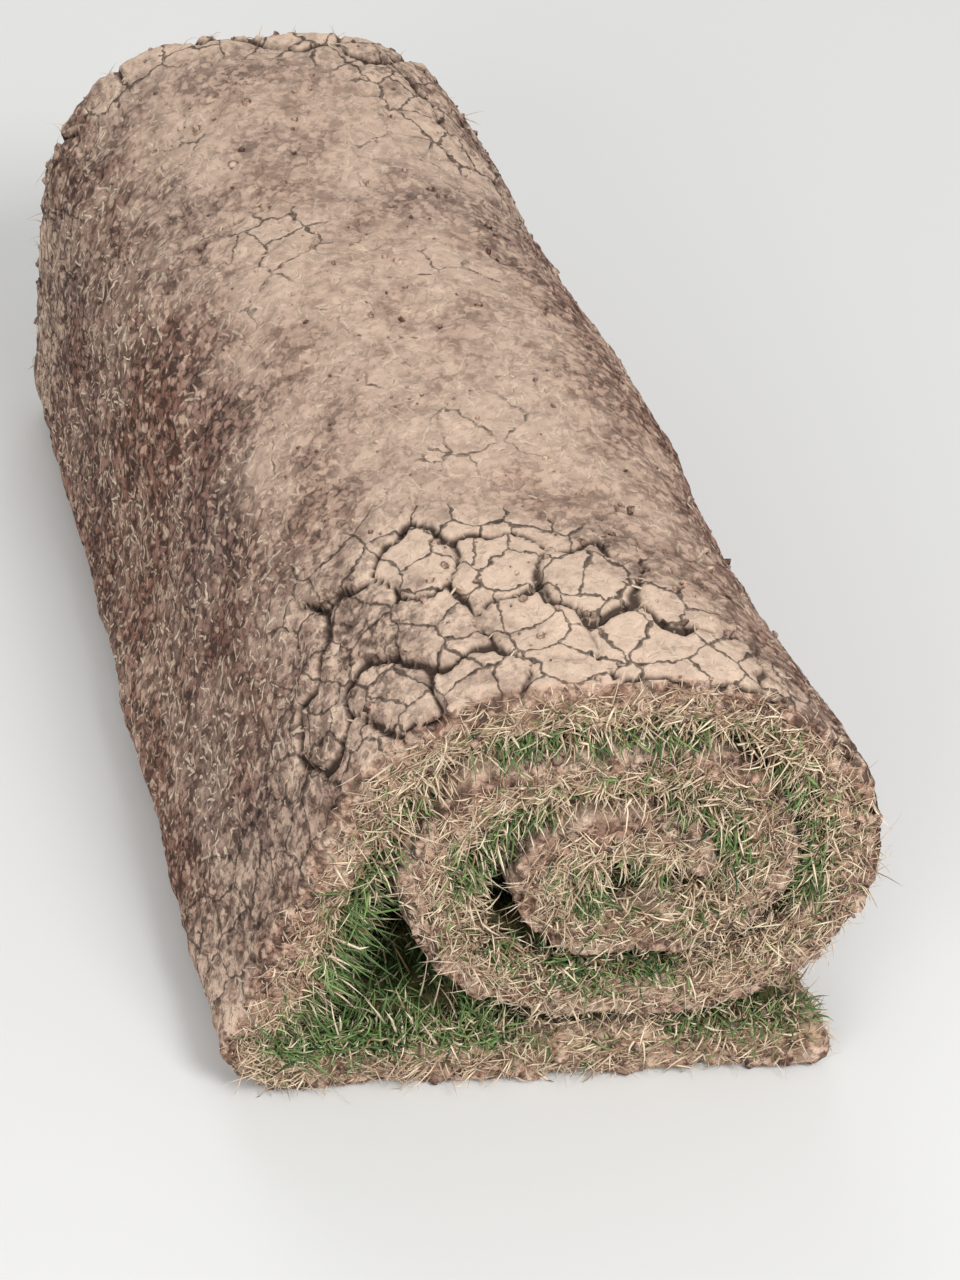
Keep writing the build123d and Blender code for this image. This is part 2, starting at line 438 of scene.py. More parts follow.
def strands(name, paths, width, attributes, flatness=0.45):
    """Closed three-sided blades or fibres that taper to a point along their paths."""
    count, knots, _ = paths.shape
    share = np.linspace(0, 1, knots)
    ahead = np.gradient(paths, axis=1)
    ahead /= np.linalg.norm(ahead, axis=2, keepdims=True) + 1e-9
    hint = random.normal(size=(count, 1, 3))
    side = np.cross(ahead, hint)
    side /= np.linalg.norm(side, axis=2, keepdims=True) + 1e-9
    thick = np.cross(side, ahead)
    half = (width[:, None] / 2 * (1 - BLADE_TAPER * share**1.6))[..., None]
    rings = np.stack([
        paths + side * half - thick * half * flatness,
        paths - side * half - thick * half * flatness,
        paths + thick * half * flatness,
    ], 2)[:, :-1]
    points = np.concatenate([rings.reshape(count, -1, 3), paths[:, -1:]], 1)
    points[..., 2] = np.maximum(points[..., 2], cad_low.z + BLADE_CLEARANCE)
    size = points.shape[1]
    triangles = [[0, 1, 2]]
    for knot in range(knots - 2):
        for corner in range(3):
            a, b = 3 * knot + corner, 3 * knot + (corner + 1) % 3
            triangles += [[a, a + 3, b + 3], [a, b + 3, b]]
    last = 3 * (knots - 2)
    for corner in range(3):
        triangles.append([last + corner, size - 1, last + (corner + 1) % 3])
    triangles = (np.arange(count)[:, None, None] * size + np.array(triangles)[None]).reshape(-1, 3)
    along = np.concatenate([np.repeat(share[:-1], 3), [1.0]])
    flat = {key: np.repeat(values, size) for key, values in attributes.items()}
    flat["along"] = np.tile(along, count)
    return make_mesh(name, points.reshape(-1, 3), triangles, flat)


def arcs(root, aim, sag, length):
    """Paths that leave their roots along aim and bend over towards sag."""
    share = np.linspace(0, 1, KNOTS)[None, :, None]
    aim = aim / np.linalg.norm(aim, axis=1, keepdims=True)
    reach = length[:, None, None]
    return root[:, None] + aim[:, None] * reach * share + sag[:, None] * reach * share**2


# Node graphs


class Graph:
    """Adds nodes to a shader or geometry tree. An input may be a value or another output."""

    def __init__(self, tree):
        self.tree = tree

    def add(self, kind, inputs=(), **settings):
        node = self.tree.nodes.new(kind)
        for key, value in settings.items():
            setattr(node, key, value)
        for key, value in dict(inputs).items():
            if isinstance(value, bpy.types.NodeSocket):
                self.tree.links.new(value, node.inputs[key])
            else:
                node.inputs[key].default_value = value
        return node

    def math(self, operation, *values):
        return self.add("ShaderNodeMath", enumerate(values), operation=operation).outputs[0]

    def product(self, a, b):
        return self.math("MULTIPLY", a, b)

    def total(self, a, b):
        return self.math("ADD", a, b)

    def less(self, a, b):
        return self.math("SUBTRACT", a, b)

    def vectors(self, operation, inputs):
        return self.add("ShaderNodeVectorMath", inputs, operation=operation).outputs[0]

    def scale(self, vector, factor):
        return self.vectors("SCALE", {0: vector, "Scale": factor})

    def plus(self, a, b):
        return self.vectors("ADD", {0: a, 1: b})

    def times(self, a, b):
        return self.vectors("MULTIPLY", {0: a, 1: b})

    def parts(self, vector):
        """The X, Y and Z of a vector."""
        return self.add("ShaderNodeSeparateXYZ", {0: vector}).outputs

    def chances(self, cells):
        """Three numbers from 0 to 1 that differ from cell to cell."""
        return self.add("ShaderNodeSeparateColor", {0: cells.outputs["Color"]}).outputs

    def noise(self, vector, size, detail=3.0, rough=0.55, color=False):
        inputs = {"Vector": vector, "Scale": 1 / size, "Detail": detail, "Roughness": rough}
        node = self.add("ShaderNodeTexNoise", inputs)
        return node.outputs[1 if color else 0]

    def wander(self, vector, size):
        """A noise of vectors about zero, which makes lines wander when added to a place."""
        return self.plus(self.noise(vector, size, 2.0, color=True), (-0.5, -0.5, -0.5))

    def cells(self, vector, size, feature, dimensions="2D"):
        settings = {"feature": feature, "voronoi_dimensions": dimensions}
        return self.add("ShaderNodeTexVoronoi", {"Vector": vector, "Scale": 1 / size}, **settings)

    def remap(self, value, low, high, to_low=0.0, to_high=1.0, smooth=True):
        kind = "SMOOTHSTEP" if smooth else "LINEAR"
        inputs = {0: value, 1: low, 2: high, 3: to_low, 4: to_high}
        return self.add("ShaderNodeMapRange", inputs, interpolation_type=kind).outputs[0]


# The soil's relief, in metres: how high each kind is and how far apart
LUMP_HEIGHT = 0.0075
LUMP_SIZE = 0.035
GRIT_HEIGHT = 0.0035
GRIT_SIZE = 0.0065
CLOD_HEIGHT = 0.0042
CLOD_SIZE = 0.0075
CLOD_WARP = 0.007
CLOD_WANDER = 0.005
TEAR_HEIGHT = 0.0084
TEAR_SIZE = 0.013

# Where the noise of lumps and grit crosses the model's face, and how much grit the top keeps
FACE_LEVEL = 0.56
TOP_GRIT = 0.5


def rough_soil(piece):
    """Displaces a soil piece by its cracks, lumps and clods, and keeps the result as its mesh."""
    tree = bpy.data.node_groups.new("rough_soil", "GeometryNodeTree")
    tree.interface.new_socket("Geometry", in_out="INPUT", socket_type="NodeSocketGeometry")
    tree.interface.new_socket("Geometry", in_out="OUTPUT", socket_type="NodeSocketGeometry")
    g = Graph(tree)
    given, result = g.add("NodeGroupInput"), g.add("NodeGroupOutput")

    def named(name, kind):
        node = g.add("GeometryNodeInputNamedAttribute", {"Name": name}, data_type=kind)
        return node.outputs["Attribute"]

    push = named("push", "FLOAT_VECTOR")
    edge, crack = named("edge", "FLOAT"), named("crack", "FLOAT")
    position = g.add("GeometryNodeInputPosition").outputs[0]
    lumps = g.product(g.less(g.noise(position, LUMP_SIZE, 3.0), FACE_LEVEL), LUMP_HEIGHT)
    grit = g.product(g.less(g.noise(position, GRIT_SIZE, 4.0, 0.65), FACE_LEVEL), GRIT_HEIGHT)
    grit = g.product(grit, g.remap(g.parts(push)[2], 0.5, 1.0, 1.0, TOP_GRIT))
    wandering = g.plus(position, g.scale(g.wander(position, CLOD_WARP), CLOD_WANDER))
    cells = g.cells(wandering, CLOD_SIZE, "F1", "3D")
    clods = g.product(g.less(0.45, cells.outputs["Distance"]), g.product(edge, CLOD_HEIGHT))
    torn = g.product(g.less(g.noise(position, TEAR_SIZE, 4.0, 0.65), 0.5), edge)
    torn = g.product(torn, TEAR_HEIGHT)
    relief = g.total(g.total(grit, lumps), g.total(clods, torn))
    offset = g.scale(push, g.less(relief, crack))
    moved = g.add("GeometryNodeSetPosition", {"Geometry": given.outputs[0], "Offset": offset})
    tree.links.new(moved.outputs[0], result.inputs[0])
    modifier = piece.modifiers.new("rough_soil", "NODES")
    modifier.node_group = tree
    keep_result(piece)
    floor = cad_low.z
    for vertex in piece.data.vertices:
        vertex.co.z = max(vertex.co.z, floor)


def keep_result(piece):
    """Replaces a piece's mesh by what its modifiers make of it."""
    graph = bpy.context.evaluated_depsgraph_get()
    mesh = bpy.data.meshes.new_from_object(piece.evaluated_get(graph))
    piece.modifiers.clear()
    old = piece.data
    piece.data = mesh
    bpy.data.meshes.remove(old)
    mesh.name = piece.name


# Materials


def material(name, roughness):
    """A new material: its graph and its Principled shader."""
    made = bpy.data.materials.new(name)
    made.use_nodes = True
    shader = made.node_tree.nodes["Principled BSDF"]
    shader.inputs["Roughness"].default_value = roughness
    shader.inputs["Specular IOR Level"].default_value = 0.25
    return made, Graph(made.node_tree), shader


def blend(g, factor, low, high):
    """A colour between two, either of which may be another output."""
    low, high = (c if isinstance(c, bpy.types.NodeSocket) else (*c, 1.0) for c in (low, high))
    return g.add("ShaderNodeMix", {0: factor, 6: low, 7: high}, data_type="RGBA").outputs[2]


def attribute(g, name, output="Fac"):
    return g.add("ShaderNodeAttribute", attribute_name=name).outputs[output]


# Colours of the soil
CLAY_RED = (0.310, 0.148, 0.104)
CLAY_MAUVE = (0.285, 0.165, 0.136)
CLAY_FRESH = (0.540, 0.300, 0.205)
CLAY_CRUST = (0.520, 0.400, 0.310)
# Pale clay, also used as painted sunlight on top and on the cut edges
CLAY_PALE_AND_SUNLIT = (0.850, 0.630, 0.480)
# Dark clay, also used as painted shade in cracks, crazing, gaps, pits and hollows
CLAY_DARK_AND_SHADE = (0.045, 0.026, 0.019)
STRAW = (0.66, 0.50, 0.29)
ROOT_PALE = (0.90, 0.73, 0.55)

# Sizes of the soil's patterns, in metres, from broad stains down to crumbs
STAIN = 0.090
DUST = 0.050
CRAZING = 0.0165
MOTTLE = 0.011
WARP = 0.006
GRAIN = 0.0045
CRUMB = 0.0034

# How far the patterns' edges wander
CRUMB_WANDER = 0.007
STRAW_WANDER = 0.004

# Heights of the soil's bumps, in metres
GRAIN_HEIGHT = 0.0026
CRUST_GRAIN_HEIGHT = 0.0010
GAP_DEPTH = 0.0008
PIT_DEPTH = 0.0013
STRAW_HEIGHT = 0.0006

# How much of the crumbly look the crust on top hides
CRUST_COVER = 0.70


def flecks(g, place, spacing, length, width, share):
    """Bits of straw in the soil, turned and cut at random, in a share of the soil's cells."""
    cells = g.cells(place, spacing, "F1")
    turn_chance, length_chance, share_chance = g.chances(cells)
    offset = g.plus(place, g.scale(cells.outputs["Position"], -1.0))
    turn = {"Vector": offset, "Angle": g.product(turn_chance, 2 * pi)}
    turned = g.add("ShaderNodeVectorRotate", turn, rotation_type="Z_AXIS").outputs[0]
    along, aside, _ = g.parts(turned)
    half = g.product(length_chance, length / 2)
    beyond = g.math("MAXIMUM", g.less(g.math("ABSOLUTE", along), half), 0.0)
    gap = g.math("SQRT", g.total(g.math("POWER", beyond, 2.0), g.math("POWER", aside, 2.0)))
    shown = g.math("LESS_THAN", share_chance, share)
    return g.product(g.remap(gap, width * 0.3, width * 0.55, 1.0, 0.0), shown)


class SoilFields:
    """What the soil's looks depend on: values of its mesh, and noises of several sizes."""

    def __init__(self, g):
        self.strip = attribute(g, "strip", "Vector")
        self.edge, self.outer = attribute(g, "edge"), attribute(g, "outer")
        self.crack, self.dry = attribute(g, "crack"), attribute(g, "dry")
        self.position = g.add("ShaderNodeTexCoord").outputs["Object"]
        self.up = g.parts(g.add("ShaderNodeNewGeometry").outputs["Normal"])[2]
        self.depth = g.parts(self.strip)[2]
        self.warp = g.wander(self.position, WARP)
        self.stain = g.noise(self.position, STAIN, 2.0)
        self.dust = g.noise(self.position, DUST, 4.0, 0.65)
        self.grain = g.noise(self.position, GRAIN, 5.0, 0.75)
        self.mottle = g.noise(self.position, MOTTLE, 3.0, 0.6)
        lie = g.parts(attribute(g, "push", "Vector"))[2]
        crust = g.remap(g.total(lie, g.product(self.dust, 1.2)), 1.05, 1.70)
        self.crust = g.product(crust, self.outer)
        self.rough = g.less(1.0, g.product(self.crust, CRUST_COVER))


def clay_colour(g, f):
    """Reddish clay that dries pale near the ends; painted sunlight on top and the cut edges, painted
    shade in hollows.
    """
    base = blend(g, g.remap(f.stain, 0.36, 0.64), CLAY_RED, CLAY_MAUVE)
    # Paler with dust, and painted top light where the surface faces up
    pale = g.total(g.remap(f.dust, 0.42, 0.60, 0.0, 0.34), g.remap(f.up, 0.45, 1.0, 0.02, 0.42))
    # Paler where it dries near the ends, and painted sunlight on the cut edges
    pale = g.total(pale, g.total(g.product(f.dry, 0.50), g.product(f.edge, 0.36)))
    # Less pale in the low places of the grain's bump as painted shade, and changed at random in
    # mottled patches
    by_grain = g.remap(f.grain, 0.36, 0.60, 0.70, 0.0)
    by_mottle = g.remap(f.mottle, 0.34, 0.62, 0.38, -0.25)
    for dulled in (by_grain, by_mottle):
        pale = g.product(pale, g.less(1.0, g.product(dulled, f.rough)))
    base = blend(g, pale, base, CLAY_PALE_AND_SUNLIT)
    base = blend(g, g.product(f.crust, 0.45), base, CLAY_CRUST)
    base = blend(g, g.product(g.remap(f.mottle, 0.46, 0.60, 0.70, 0.10), f.edge), base, CLAY_FRESH)
    base = blend(g, g.product(g.remap(f.mottle, 0.36, 0.50, 0.36, 0.0), f.rough), base, CLAY_DARK_AND_SHADE)
    return blend(g, g.product(g.remap(f.mottle, 0.54, 0.66, 0.0, 0.28), f.rough), base, CLAY_PALE_AND_SUNLIT)


def with_crumbs(g, f, base):
    """Adds crumbs, with painted shade in the gaps between them and in pits, and gives the colour,
    the gaps and the pits.
    """
    crumbs = g.cells(g.plus(f.position, g.scale(f.warp, CRUMB_WANDER)), CRUMB, "F1", "3D")
    middle = g.total(crumbs.outputs["Distance"], g.product(g.less(0.5, f.grain), 1.3))
    light_chance, pit_chance, _ = g.chances(crumbs)
    crumbly = g.remap(g.total(f.dust, g.product(g.total(f.dry, f.up), 0.10)), 0.44, 0.74, 1.0, 0.30)
    gaps = g.product(g.remap(middle, 0.45, 0.80), g.product(crumbly, f.rough))
    # Painted shade in the gaps between crumbs
    base = blend(g, g.product(gaps, 0.84), base, CLAY_DARK_AND_SHADE)
    light = g.product(g.remap(middle, 0.30, 0.50, 0.55, 0.0), g.remap(light_chance, 0.60, 0.85))
    base = blend(g, g.product(light, f.rough), base, CLAY_PALE_AND_SUNLIT)
    pits = g.product(g.remap(pit_chance, 0.84, 0.92), g.remap(middle, 0.15, 0.50, 1.0, 0.0))
    pits = g.product(pits, f.rough)
    # Painted shade in the pits
    base = blend(g, g.product(pits, 0.80), base, CLAY_DARK_AND_SHADE)
    # Painted shade in the low places of the grain's bump
    base = blend(g, g.product(g.remap(f.grain, 0.36, 0.50, 0.45, 0.0), f.rough), base, CLAY_DARK_AND_SHADE)
    return base, gaps, pits


def with_cracks(g, f, base):
    """Adds crazing in patches and the mesh's own cracks as painted shade, and gives the colour and
    the crazing.
    """
    wandering = g.plus(f.strip, g.scale(f.warp, CRUMB_WANDER))
    to_edge = g.cells(wandering, CRAZING, "DISTANCE_TO_EDGE").outputs["Distance"]
    crazed = g.total(g.product(f.dry, 0.7), g.total(f.dust, g.product(f.grain, 0.5)))
    crazed = g.product(g.remap(crazed, 0.74, 0.98), f.outer)
    crazing = g.product(g.remap(to_edge, 0.0, 0.045, 1.0, 0.0), crazed)
    # Painted shade in the hairline cracks
    base = blend(g, g.product(crazing, 0.70), base, CLAY_DARK_AND_SHADE)
    # Painted shade in the mesh's cracks, over their real depth
    base = blend(g, g.remap(f.crack, 0.0003, 0.0024, 0.0, 0.94), base, CLAY_DARK_AND_SHADE)
    return base, crazing


def with_straw(g, f, base):
    """Adds bits of straw on the outer face and thatch by the grass, and gives colour and straw."""
    bent = g.plus(f.strip, g.scale(f.warp, STRAW_WANDER))
    long = flecks(g, bent, spacing=0.0070, length=0.0090, width=0.0012, share=0.50)
    short = flecks(g, bent, spacing=0.0042, length=0.0045, width=0.0009, share=0.55)
    strewn = g.remap(g.less(f.dust, g.product(f.dry, 0.06)), 0.38, 0.58, 0.15, 1.0)
    straw = g.product(g.product(g.math("MAXIMUM", long, short), f.outer), g.product(strewn, f.rough))
    base = blend(g, straw, base, ROOT_PALE)
    thatch = g.product(g.remap(f.depth, SOIL * 0.55, SOIL * 0.95), g.product(f.edge, 0.75))
    return blend(g, g.product(thatch, g.remap(f.grain, 0.40, 0.55)), base, STRAW), straw


def finish_material(g, shader, base, height):
    """Gives a material its colour and a bump whose height is in metres."""
    g.tree.links.new(base, shader.inputs["Base Color"])
    bump = g.add("ShaderNodeBump", {"Height": height, "Strength": 1.0, "Distance": 1.0})
    g.tree.links.new(bump.outputs[0], shader.inputs["Normal"])


def soil_material():
    """Dry clay, crusted smooth on top and crumbly elsewhere, with bits of straw and root."""
    made, g, shader = material("turf_soil", 0.95)
    f = SoilFields(g)
    base, gaps, pits = with_crumbs(g, f, clay_colour(g, f))
    base, crazing = with_cracks(g, f, base)
    base, straw = with_straw(g, f, base)
    height = g.product(f.grain, g.remap(f.rough, 0.2, 1.0, CRUST_GRAIN_HEIGHT, GRAIN_HEIGHT))
    height = g.less(height, g.product(gaps, GAP_DEPTH))
    height = g.less(height, g.product(g.math("MAXIMUM", crazing, pits), PIT_DEPTH))
    height = g.total(height, g.product(straw, STRAW_HEIGHT))
    finish_material(g, shader, base, height)
    return made


# Colours of blades and fibres: of dark ones, of light ones and of their roots
GRASS_DARK = (0.028, 0.080, 0.026)
GRASS_LIGHT = (0.27, 0.39, 0.14)
GRASS_ROOT = (0.36, 0.33, 0.16)
STEM_DARK = (0.34, 0.20, 0.12)
STEM_LIGHT = (0.98, 0.82, 0.60)
STEM_ROOT = (0.46, 0.28, 0.19)
FIBRE_DARK = (0.50, 0.36, 0.24)
FIBRE_LIGHT = (0.88, 0.75, 0.58)
FIBRE_ROOT = (0.55, 0.40, 0.28)

# The size of their mottling and the height of their bumps, in metres
STRAND_MOTTLE = 0.002
STRAND_BUMP = 0.0006


def strand_material(name, dark, light, root, roughness):
    """Blades or fibres: each has its own tint, and its root fades to another colour."""
    made, g, shader = material(name, roughness)
    position = g.add("ShaderNodeTexCoord").outputs["Object"]
    mottled = g.product(g.less(g.noise(position, STRAND_MOTTLE, 1.0), 0.5), 0.5)
    tint = g.total(attribute(g, "tint"), mottled)
    base = blend(g, g.remap(tint, 0.0, 1.0, smooth=False), dark, light)
    base = blend(g, g.remap(attribute(g, "along"), 0.0, 0.35, 0.75, 0.0), base, root)
    finish_material(g, shader, base, g.product(mottled, STRAND_BUMP))
    return made


def grass_material():
    """Green lawn grass, yellowish at the root."""
    return strand_material("grass_blades", GRASS_DARK, GRASS_LIGHT, GRASS_ROOT, roughness=0.6)


def straw_material():
    """Dry stems, from brown to nearly white."""
    return strand_material("dry_stems", STEM_DARK, STEM_LIGHT, STEM_ROOT, roughness=0.75)


def root_material():
    """Fine pale roots."""
    return strand_material("fine_roots", FIBRE_DARK, FIBRE_LIGHT, FIBRE_ROOT, roughness=0.8)


# The mat's colours, and the sizes of its patterns and bumps in metres
MAT_DARK = (0.030, 0.050, 0.016)
MAT_LIGHT = (0.085, 0.125, 0.035)
MAT_STRAW = (0.25, 0.18, 0.09)
MAT_FELT = 0.003
MAT_PATCH = 0.012
MAT_BUMP = 0.0015


def mat_material():
    """The dark felt of pressed grass between the turns."""
    made, g, shader = material("pressed_grass", 0.95)
    position = g.add("ShaderNodeTexCoord").outputs["Object"]
    stretched = g.times(position, (1.0, 0.35, 1.0))
    tone = g.remap(g.noise(stretched, MAT_FELT, 4.0, 0.7), 0.35, 0.65)
    straw = g.remap(g.noise(position, MAT_PATCH, 3.0), 0.45, 0.62)
    base = blend(g, g.product(straw, 0.6), blend(g, tone, MAT_DARK, MAT_LIGHT), MAT_STRAW)
    finish_material(g, shader, base, g.product(tone, MAT_BUMP))
    return made


# Pieces

# The soil's mesh: its steps along the strip, its finest columns, and where the fine part starts
FINE_STEP = 0.00163
COARSE_STEP = 0.0022
FINE_COLUMNS = 248
FINE_START = FOLD_START - 0.010


def finish_with(piece, made):
    piece.data.materials.clear()
    piece.data.materials.append(made)


def build_soil(made):
    """The strip's soil: its bottom, its outermost turn in fine detail, and the turns inside."""
    fine = np.linspace(0, 1, FINE_COLUMNS)
    coarse = columns_across([0, 0.005, 0.011, 0.019, 0.03, 0.05], 0.1, 9)
    stretches = (
        ("soil_bottom", 0, FINE_START, coarse, COARSE_STEP, True, False),
        ("soil_outer_turn", FINE_START, UNDER, fine, FINE_STEP, False, False),
        ("soil_inner_turns", UNDER, TOTAL, coarse, COARSE_STEP, False, True),
    )
    pieces = []
    for stretch in stretches:
        piece = soil_piece(*stretch)
        rough_soil(piece)
        finish_with(piece, made)
        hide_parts(NODE)
        pieces.append(piece)
    return pieces


def surface_of(pieces):
    """All faces of some pieces, to find the nearest place on them."""
    corners, faces = [], []
    for piece in pieces:
        first = len(corners)
        corners += [v.co for v in piece.data.vertices]
        faces += [[first + i for i in f.vertices] for f in piece.data.polygons]
    return BVHTree.FromPolygons(corners, faces)


def settled(points, ground, lift=0.0):
    """Points moved to a height above the nearest places of the rough soil."""
    lift = np.broadcast_to(lift, len(points))
    moved = np.empty_like(points)
    for i, point in enumerate(points):
        spot, normal, _, _ = ground.find_nearest(Vector(point))
        moved[i] = spot + normal * lift[i]
    return moved


# The pressed grass: its steps, how far and unevenly it stands back, and its hold in the soil
MAT_STEP = 0.004
MAT_INSET = 0.010
MAT_UNEVEN = 0.0012
MAT_TUCK = 0.0006

# How thick it is where pressed and where loose, and where it is loose
PRESSED = 1.02 * GRASS
LOOSE = 0.4 * GRASS
LOOSE_FREE_END = 0.045
LOOSE_START = FOLD_START - 0.030
LOOSE_END = FLAP + FLAP_LENGTH * 0.8


def build_mat(made):
    """The grass between the turns, which stands back from the ends."""
    rows = np.arange(MAT_STEP, TOTAL - MAT_STEP, MAT_STEP)
    loose = (rows < LOOSE_FREE_END) | (rows > LOOSE_START) & (rows < LOOSE_END)
    thickness = np.where(loose, LOOSE, PRESSED)
    thickness = np.convolve(np.pad(thickness, 3, mode="edge"), np.ones(7) / 7, mode="valid")
    faces = columns_across([0, 0.01, 0.03], 0.1, 9)
    across, share, *_ = slab_profile(faces, faces, edge_steps=3, thickness=1.0, bulge=0.0)
    depth = SOIL + share[None, :] * thickness[:, None] - MAT_TUCK
    points, _, _ = place(rows[:, None], across, depth, MAT_INSET)
    points[..., 1] += random.normal(0, MAT_UNEVEN, points.shape[:2])
    triangles = loft(depth.shape, points[..., 1])
    piece = make_mesh("pressed_grass", points.reshape(-1, 3), triangles, {})
    finish_with(piece, made)


ALONG = np.array([0.0, 1.0, 0.0])
DOWN = np.array([0.0, 0.0, -1.0])

# How far stems stand out beyond the ends, and blades of the loose turn
END_REACH = 0.007
POCKET_REACH = 0.005

# Tufts of standing grass: their size, and the shift of their pattern at each end
TUFT = 0.021
TUFT_SHIFT = {FRONT: 1.7, BACK: 4.1}

# How far the tints of blades and fibres differ
TINT_SPREAD = 0.32


def patchy(s, size, phase):
    """A smooth pattern from 0 to 1 along the strip, for tufts and bare stretches."""
    return 0.5 + 0.3 * np.sin(s / size + phase) + 0.2 * np.sin(s / size * 2.37 + 2.2 * phase)


def held_back(paths, side, reach):
    """Paths whose points stand no more than about reach beyond an end's plane."""
    limit = end_y(paths[..., 0] - SHIFT[0], paths[..., 2] - SHIFT[2], side) + SHIFT[1]
    over = side * (paths[..., 1] - limit)
    paths[..., 1] -= side * np.maximum(over - reach, 0) * 0.9
    return paths


def from_end(inset, side):
    """Places across the strip that lie some way inside an end, in metres."""
    share = inset / LENGTH
    return share if side == FRONT else 1 - share


def tints(count, middle):
    return {"tint": np.clip(random.normal(middle, TINT_SPREAD, count), 0, 1)}


def build_strands(name, paths, width, made, tint):
    """Blades or fibres along paths, each with a width and tint of its own."""
    wide = random.uniform(*width, len(paths))
    finish_with(strands(name, paths, wide, tints(len(paths), tint)), made)


def build_lying(name, side, count, made, ground, depths, length, width, lift, tint):
    """Short stems that lie on the cut edge of the soil at an end, this way and that."""
    s = random.uniform(0, TOTAL, count)
    depth = depths[0] + (depths[1] - depths[0]) * random.random(count) ** 0.65
    inset = edge_inset(depth) - random.uniform(-0.0010, 0.0012, count)
    root, normal, ahead = place(s, from_end(inset, side), depth)
    root = settled(root, ground)
    outward = ALONG * side
    aim = ahead * random.normal(0, 0.9, (count, 1)) - normal * random.normal(0.15, 0.6, (count, 1))
    aim += outward * random.uniform(*lift, (count, 1))
    sag = random.normal(0, 0.28, (count, 3)) - outward * 0.25 + DOWN * 0.12
    paths = held_back(arcs(root, aim, sag, random.uniform(*length, count)), side, END_REACH)
    build_strands(name, paths, width, made, tint)


def build_standing(name, side, count, made, bare, length, width, tint):
    """Grass that stands out between the turns at an end, in tufts."""
    s = random.uniform(0, TOTAL, count * 3)
    tufts = patchy(s, TUFT, TUFT_SHIFT[side])
    s = s[tufts > bare + random.uniform(-0.15, 0.35, len(s))][:count]
    count = len(s)
    depth = SOIL + random.uniform(-0.12, 0.75, count) * GRASS
    root, normal, _ = place(s, from_end(random.uniform(0.000, 0.011, count), side), depth)
    outward = ALONG * side
    aim = outward * random.uniform(0.5, 1.0, (count, 1))
    aim -= normal * random.uniform(-0.1, 0.7, (count, 1))
    aim += random.normal(0, 0.38, (count, 3))
    sag = random.normal(0, 0.30, (count, 3)) - outward * 0.45 + DOWN * 0.35
    paths = held_back(arcs(root, aim, sag, random.uniform(*length, count)), side, END_REACH)
    build_strands(name, paths, width, made, tint)


def build_ends(grass, straw, roots, ground):
    """The grass, dry stems and roots that show on both ends."""
    for side, word, share in ((FRONT, "front", 1.0), (BACK, "back", 0.65)):
        build_lying(
            "straw_" + word, side, int(6600 * share), straw, ground, tint=0.65,
            depths=(SOIL * 0.20, SOIL * 1.15), length=(0.004, 0.012), width=(0.0005, 0.0011),
            lift=(-0.05, 0.5),
        )
        build_lying(
            "roots_" + word, side, int(3000 * share), roots, ground, tint=0.6,
            depths=(0.0, SOIL * 0.7), length=(0.003, 0.009), width=(0.0003, 0.0006),
            lift=(0.0, 0.8),
        )
        build_lying(
            "green_bits_" + word, side, int(1100 * share), grass, ground, tint=0.6,
            depths=(SOIL * 0.35, SOIL * 1.1), length=(0.003, 0.009), width=(0.0006, 0.0011),
            lift=(0.1, 0.6),
        )
        build_standing(
            "green_" + word, side, int(3000 * share), grass, bare=0.48, tint=0.55,
            length=(0.006, 0.015), width=(0.0007, 0.0013),
        )
        build_standing(
            "dry_grass_" + word, side, int(4000 * share), straw, bare=0.05, tint=0.65,
            length=(0.006, 0.014), width=(0.0006, 0.0011),
        )


def build_pocket(name, made, count, tint):
    """Blades that stand inside the loose turn, thickest near its ends."""
    s = random.uniform(FOLD_START - 0.070, FLAP + FLAP_LENGTH * 0.70, count)
    inset = random.exponential(0.035, count) / LENGTH
    behind = random.random(count) < 0.35
    across = np.clip(np.where(behind, 1 - inset, inset), 0.0, 1.0)
    root, normal, _ = place(s, across, np.full(count, SOIL))
    side = np.where(across < 0.5, FRONT, BACK)[:, None]
    near = np.exp(-np.minimum(across, 1 - across)[:, None] * LENGTH / 0.02)
    aim = -normal + ALONG * side * near * random.uniform(0.1, 0.9, (count, 1))
    aim += random.normal(0, 0.35, (count, 3))
    sag = random.normal(0, 0.3, (count, 3)) + DOWN * 0.15
    paths = arcs(root, aim, sag, random.uniform(0.010, 0.021, count))
    paths = held_back(held_back(paths, FRONT, POCKET_REACH), BACK, POCKET_REACH)
    build_strands(name, paths, (0.0008, 0.0015), made, tint)


# Where across the free end its grass and roots grow
FREE_END_ACROSS = (0.003, 0.997)


def build_free_end_grass(name, made, count):
    """Blades that spring up where the free end comes out from under the roll."""
    s = random.uniform(-0.003, 0.030, count)
    across = random.uniform(*FREE_END_ACROSS, count)
    root, normal, ahead = place(s, across, np.full(count, SOIL * 0.9))
    aim = -normal * 0.8 - ahead * random.uniform(0.2, 1.2, (count, 1))
    aim += random.normal(0, 0.35, (count, 3))
    sag = random.normal(0, 0.25, (count, 3)) + DOWN * 0.3
    paths = arcs(root, aim, sag, random.uniform(0.006, 0.013, count))
    build_strands(name, paths, (0.0006, 0.0012), made, 0.5)


def build_free_end_roots(roots, ground, count):
    """Fine roots on the cut face of the free end."""
    depth = random.uniform(0.15, 1.0, count) * SOIL
    root, _, ahead = place(-NOSE, random.uniform(*FREE_END_ACROSS, count), depth)
    root = settled(root, ground)
    aim = random.normal(0, 1.0, (count, 3)) - ahead * random.uniform(0.3, 0.9, (count, 1))
    sag = random.normal(0, 0.3, (count, 3)) + ahead * 0.2
    paths = arcs(root, aim, sag, random.uniform(0.003, 0.008, count))
    build_strands("roots_free_end", paths, (0.0004, 0.0009), roots, 0.6)


